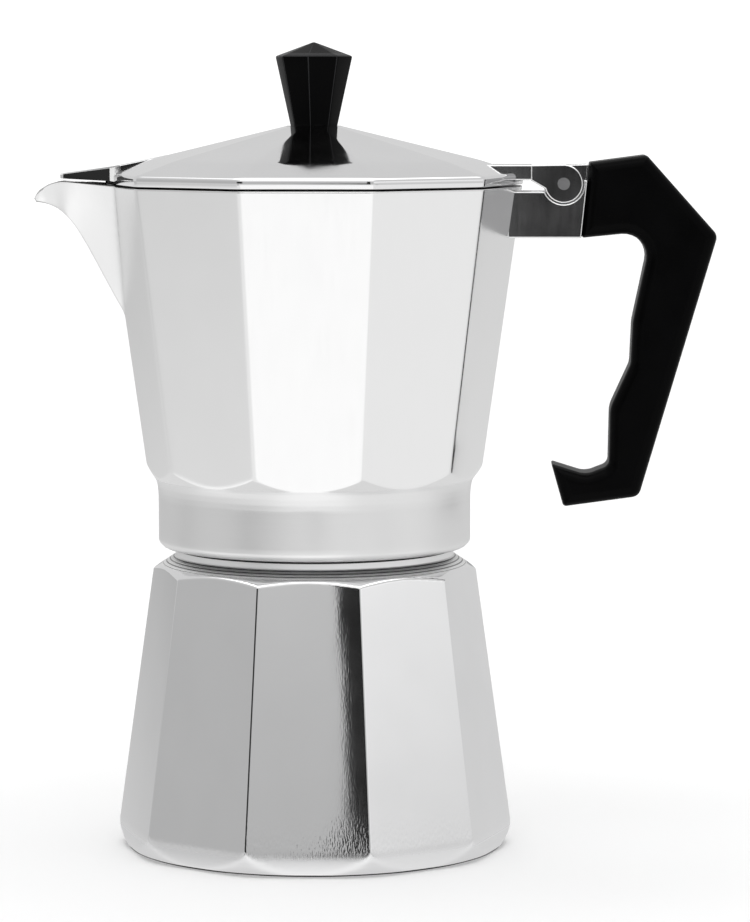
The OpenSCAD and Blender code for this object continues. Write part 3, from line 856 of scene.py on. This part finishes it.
def make_beak():
    """The lid's point over the spout: a low ridge along the corner that widens into a wedge."""
    verts, faces, slots = [], [], []
    for x, half, low, _ in BEAK_STATIONS:
        ridge = float(np.interp(x, *BEAK_RIDGE))
        side = ridge - 0.25
        foot = half - (BEAK_LEAN * (side - low) if half > 5 else 0)
        verts += [(-x, -foot, low), (-x, -half, side), (-x, 0, ridge), (-x, half, side), (-x, foot, low)]
    for i, (_, _, _, look) in enumerate(BEAK_STATIONS[:-1]):
        for j in range(5):
            k = (j + 1) % 5
            faces.append((i * 5 + j, (i + 1) * 5 + j, (i + 1) * 5 + k, i * 5 + k))
            slots.append(look if j in (0, 3) else 2)
    last = len(verts) - 5
    faces += [(0, 1, 2, 3, 4), tuple(last + j for j in (4, 3, 2, 1, 0))]
    slots += [0, 1]
    obj = mesh_object("lid_beak", verts, faces, slots, smooth=False)
    bevelled(obj, 0.2, 2, 25)
    # side walls get the painted dark reflection or the painted highlight; the top is lid metal
    return finish_piece(obj, "lid", "lid_aluminium", [MAT["beak"], MAT["edge"], MAT["lid"]])


EAR_R = 5.0
EAR_LOW, EAR_HIGH = 4.0, 6.8    # an ear's faces, out from the middle
EAR_ROOT_X = 56.2


def make_ears():
    """The lid's tab, which forks into two ears on the hinge pin."""
    lobe = circle_part(EAR_R, -165, 88, 22)
    outline = [(EAR_ROOT_X, PIN[2] + 0.85, 0.2), *lobe, (EAR_ROOT_X, PIN[2] + 4.85, 0.2)]
    tab = [(45.5, 174.5, 0.3), (EAR_ROOT_X + 0.4, 174.5, 0.2), (EAR_ROOT_X + 0.4, 178.45, 0.2),
           (44.2, 178.45, 0.3)]
    for name, corners, low, high in (("ear_near", outline, -EAR_HIGH, -EAR_LOW),
                                     ("ear_far", outline, EAR_LOW, EAR_HIGH),
                                     ("lid_tab", tab, -EAR_HIGH, EAR_HIGH)):
        hinge_plate(name, corners, low, high, 0.35, "lid", "lid_aluminium")


KNOB_SIDES = 8
KNOB_TURN = math.radians(-6.4)
KNOB_EDGE_DROP = 3.55   # from the knob's point down to its widest edge


def make_knob():
    """The eight-sided knob, whose corners and top edge are painted a little lighter as highlights."""
    theta = side_columns(KNOB_SIDES, (0, .02, .05, .1, .2, .35, .5)) + KNOB_TURN
    low, high = mm_box("knob")
    low_z, top_z = low[2], high[2]
    edge_z = top_z - KNOB_EDGE_DROP

    def eight(r, z):
        return at(theta, polygon_r(theta, r, KNOB_SIDES, bulge=0.012 * r, blend=0.35, turn=KNOB_TURN), z)

    rings = [at(theta, 0, low_z), eight(5.0, low_z), eight(5.9, low_z), eight(6.15, low_z + 0.2)]
    rings += [eight(lerp(6.2, 10.05, t), lerp(low_z + 0.5, edge_z - 0.5, t)) for t in np.linspace(0, 1, 8)]
    rings += [eight(10.05, edge_z - 0.2), eight(9.9, edge_z), eight(9.4, edge_z + 0.22)]
    rings += [eight(lerp(9.4, 0.9, t), lerp(edge_z + 0.22, top_z - 0.22, t)) for t in np.arange(1, 7) / 6]
    rings += [eight(0.4, top_z - 0.06), at(theta, 0, top_z)]
    obj = ring_mesh("knob_body", np.array(rings))
    # faces at the corners and along the top edge get the lighter plastic as painted highlights
    corners = (theta - KNOB_TURN) * KNOB_SIDES / (2 * np.pi)
    highlit = np.abs(np.round(corners) - corners) < 0.03
    edge_rows = [i for i, ring in enumerate(rings) if abs(ring[0][2] - edge_z) < 0.25]
    cols = len(theta)
    for face in obj.data.polygons[cols * 2:]:
        row, col = divmod(face.index - cols * 2, cols)
        if row + 1 in edge_rows or (highlit[col] and highlit[(col + 1) % cols]):
            face.material_index = 1
    return finish_piece(obj, "lid", "black_plastic", [MAT["black"], MAT["black_painted_highlight"]], "knob")


# ---------------------------------------------------------------- handle

HANDLE_CORNERS = [
    (JOINT_HIGH[0] + 0.15, JOINT_HIGH[1], 0.5), (86.1, 181.05, 1.6), (104.6, 160.3, 2.6), (84.6, 92.4, 2.6),
    (65.0, 89.7, 1.0), (61.8, 101.0, 0.4), (70.8, 98.2, 6.0), (76.7, 100.5, 2.2), (77.0, 115.6, 8.0),
    (82.2, 127.0, 5.0), (82.7, 138.0, 9.0), (87.6, 161.4, 5.8), (JOINT_LOW[0] + 0.15, JOINT_LOW[1], 0.5)]


def make_handle():
    """The handle, with a hole from below for its screw."""
    low, high = mm_box("handle")
    obj = plate("handle_grip", HANDLE_CORNERS, low[1] + 0.1, high[1] - 0.1, 3.0, n=8, steps=7)
    screw = mm_centre("handle_screw")
    hole_r, start_z = 4.1, 145
    hole_top = mm_box("handle_screw")[0][2] + 2.4
    evened(drilled(obj, bar("cut", (screw[0], screw[1], start_z), (0, 0, 1),
                            [(0, hole_r), (hole_top - start_z, hole_r)])))
    return finish_piece(obj, "collector", "black_plastic", MAT["black"], "handle", keep_sharp=50)


# ---------------------------------------------------------------- carried-over CAD nodes

# Node: (material, width of its rounded edges in millimetres, or 0 for none)
DRESSED = {
    "valve_body": ("brass", 0.35), "valve_retainer": ("brass", 0.15), "valve_washer": ("copper", 0.1),
    "valve_piston": ("steel", 0.2), "hinge_pin": ("pin", 0.3), "knob_screw": ("steel", 0.2),
    "handle_screw": ("steel", 0.2), "knob_washer": ("steel", 0), "knob_insert": ("brass", 0),
    "funnel": ("sheet", 0), "funnel_sieve": ("sheet", 0), "filter_plate": ("sheet", 0),
    "gasket": ("rubber", 0)}


def dress_cad_nodes():
    """Materials and rounded edges for the CAD nodes that are shown as they are."""
    for name, (look, edge) in DRESSED.items():
        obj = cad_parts[name]
        obj.data.materials.clear()
        obj.data.materials.append(MAT[look])
        if edge:
            bevelled(obj, edge, 3, 40)


# ---------------------------------------------------------------- studio

FLOOR_SIZE = 4.0        # metres from the middle to each side
BACKDROP = 1.15         # brightness of the plain white behind the pot
# Elevation and brightness of the light all round
SKY = [(-12, 0.78), (-5, 0.70), (44, 0.70), (56, 2.0), (68, 2.0), (78, 0.95)]
# Cards: azimuth from and to, elevation from and to, brightness at the bottom and the top, then
# softness in azimuth and in elevation. Where two overlap, the later one is in front.
CARDS = [
    (150, 210, -60, -8, 1.16, 1.14, 9, 4),
    (150, 210, 0.2, 40, 0.43, 1.25, 8, 3),
    (172, 181.5, -5.0, 1.0, 0.05, 0.05, 1.5, 0.8),
    (174, 178.97, -2, 16, 0.022, 0.022, 0.15, 2),
    (-152, -122, -60, -8, 0.95, 0.95, 6, 2),
    (-122, -80, -40, -7, 1.20, 0.62, 6, 2),
    (-120, -80, -1.6, 30, 0.49, 0.60, 8, 2),
    (-168, -122, -0.5, 14, 0.03, 0.03, 4, 0.8),
    (-80, -14, -12, -1, 0.80, 0.42, 8, 1.2),
    (-86, -60, -12, -3, 0.56, 0.56, 6, 2),
    (-142, -126, -10, -5, 0.25, 0.25, 5, 2),
    (117, 133, -10, -5, 0.25, 0.25, 5, 2),
    (-8, 8, -40, 5, 0.30, 0.30, 4, 2),
    (82, 150, -40, -7, 0.93, 0.93, 8, 2),
    (82, 150, -1.4, 12, 0.66, 1.20, 8, 2),
]


def make_floor():
    """A plain white floor, left out of reflections: the metal sees the studio's light there instead."""
    mesh = bpy.data.meshes.new("floor")
    d = FLOOR_SIZE
    mesh.from_pydata([(-d, -d, 0), (d, -d, 0), (d, d, 0), (-d, d, 0)], [], [(0, 1, 2, 3)])
    floor = bpy.data.objects.new("floor", mesh)
    bpy.context.scene.collection.objects.link(floor)
    floor.visible_glossy = False
    m, _, _, shader, _ = node_tree("floor_white")
    shader.inputs["Base Color"].default_value = (0.93, 0.93, 0.93, 1)
    shader.inputs["Roughness"].default_value = 0.9
    shader.inputs["Specular IOR Level"].default_value = 0.1
    mesh.materials.append(m)


def make_world():
    """A studio as light from all round: SKY by elevation, then soft cards at their own directions."""
    world = bpy.data.worlds.new("studio")
    bpy.context.scene.world = world
    world.use_nodes = True
    nodes, links = world.node_tree.nodes, world.node_tree.links
    nodes.clear()
    out = nodes.new("ShaderNodeOutputWorld")
    coord = nodes.new("ShaderNodeTexCoord").outputs["Generated"]
    split = nodes.new("ShaderNodeSeparateXYZ")
    links.new(coord, split.inputs[0])

    def calc(operation, *values):
        return math_node(nodes, links, operation, *values)

    def change(value, *stops, **kind):
        return map_range(nodes, links, value, *stops, **kind)

    def within(value, lo, hi, soft):
        rise = change(value, lo - soft, lo + soft)
        return calc("MULTIPLY", rise, change(value, hi - soft, hi + soft, 1.0, 0.0))

    degrees = 180 / math.pi
    el = calc("MULTIPLY", calc("ARCSINE", split.outputs[2]), degrees)
    # 0 is behind the pot (+Y), 90 is on its right (+X), and 180 is at the camera
    az = calc("MULTIPLY", calc("ARCTAN2", split.outputs[0], split.outputs[1]), degrees)
    beyond = calc("ADD", az, 360.0)

    light = change(el, SKY[0][0], SKY[1][0], SKY[0][1], SKY[1][1])
    for (e0, v0), (e1, v1) in zip(SKY[1:], SKY[2:]):
        light = calc("ADD", light, change(el, e0, e1, 0.0, v1 - v0))
    for az0, az1, el0, el1, low, high, soft_az, soft_el in CARDS:
        across = within(az, az0, az1, soft_az)
        if az1 > 180:
            across = calc("MAXIMUM", across, within(beyond, az0, az1, soft_az))
        mask = calc("MULTIPLY", across, within(el, el0, el1, soft_el))
        level = change(el, el0, el1, low, high, kind="LINEAR")
        light = calc("MULTIPLY_ADD", mask, calc("SUBTRACT", level, light), light)
    studio = nodes.new("ShaderNodeBackground")
    backdrop = nodes.new("ShaderNodeBackground")
    links.new(light, studio.inputs["Strength"])
    backdrop.inputs["Strength"].default_value = BACKDROP
    for n in (studio, backdrop):
        n.inputs["Color"].default_value = (1, 1, 1, 1)
    seen = nodes.new("ShaderNodeLightPath")
    mix = nodes.new("ShaderNodeMixShader")
    links.new(seen.outputs["Is Camera Ray"], mix.inputs[0])
    links.new(studio.outputs[0], mix.inputs[1])
    links.new(backdrop.outputs[0], mix.inputs[2])
    links.new(mix.outputs[0], out.inputs["Surface"])


def make_camera():
    """The camera: a little round to the right of the front, aimed slightly down and to the left."""
    turn, distance, height = math.radians(2.09), 1.056, 0.2033
    tilt, pan, lens_to_sensor = 0.0966, 0.0150, 4.397
    cam = bpy.data.cameras.new("camera")
    cam.sensor_width = 36.0
    cam.lens = lens_to_sensor * cam.sensor_width
    cam.clip_start, cam.clip_end = 0.05, 100.0
    obj = bpy.data.objects.new("camera", cam)
    bpy.context.scene.collection.objects.link(obj)
    aim = turn - pan
    forward = Vector((-math.sin(aim) * math.cos(tilt), math.cos(aim) * math.cos(tilt), -math.sin(tilt)))
    obj.location = (math.sin(turn) * distance, -math.cos(turn) * distance, height)
    obj.rotation_euler = forward.to_track_quat("-Z", "Y").to_euler()
    bpy.context.scene.camera = obj


def set_view():
    """Colours are shown as they are lit, without a film look."""
    scene = bpy.context.scene
    scene.view_settings.view_transform = "Standard"
    scene.view_settings.look = "None"
    scene.view_settings.exposure = 0.0


make_boiler()
make_valve_boss()
make_spring()
make_jug()
make_riser()
make_lug()
make_lid()
make_beak()
make_ears()
make_knob()
make_handle()
dress_cad_nodes()
make_floor()
make_world()
make_camera()
set_view()
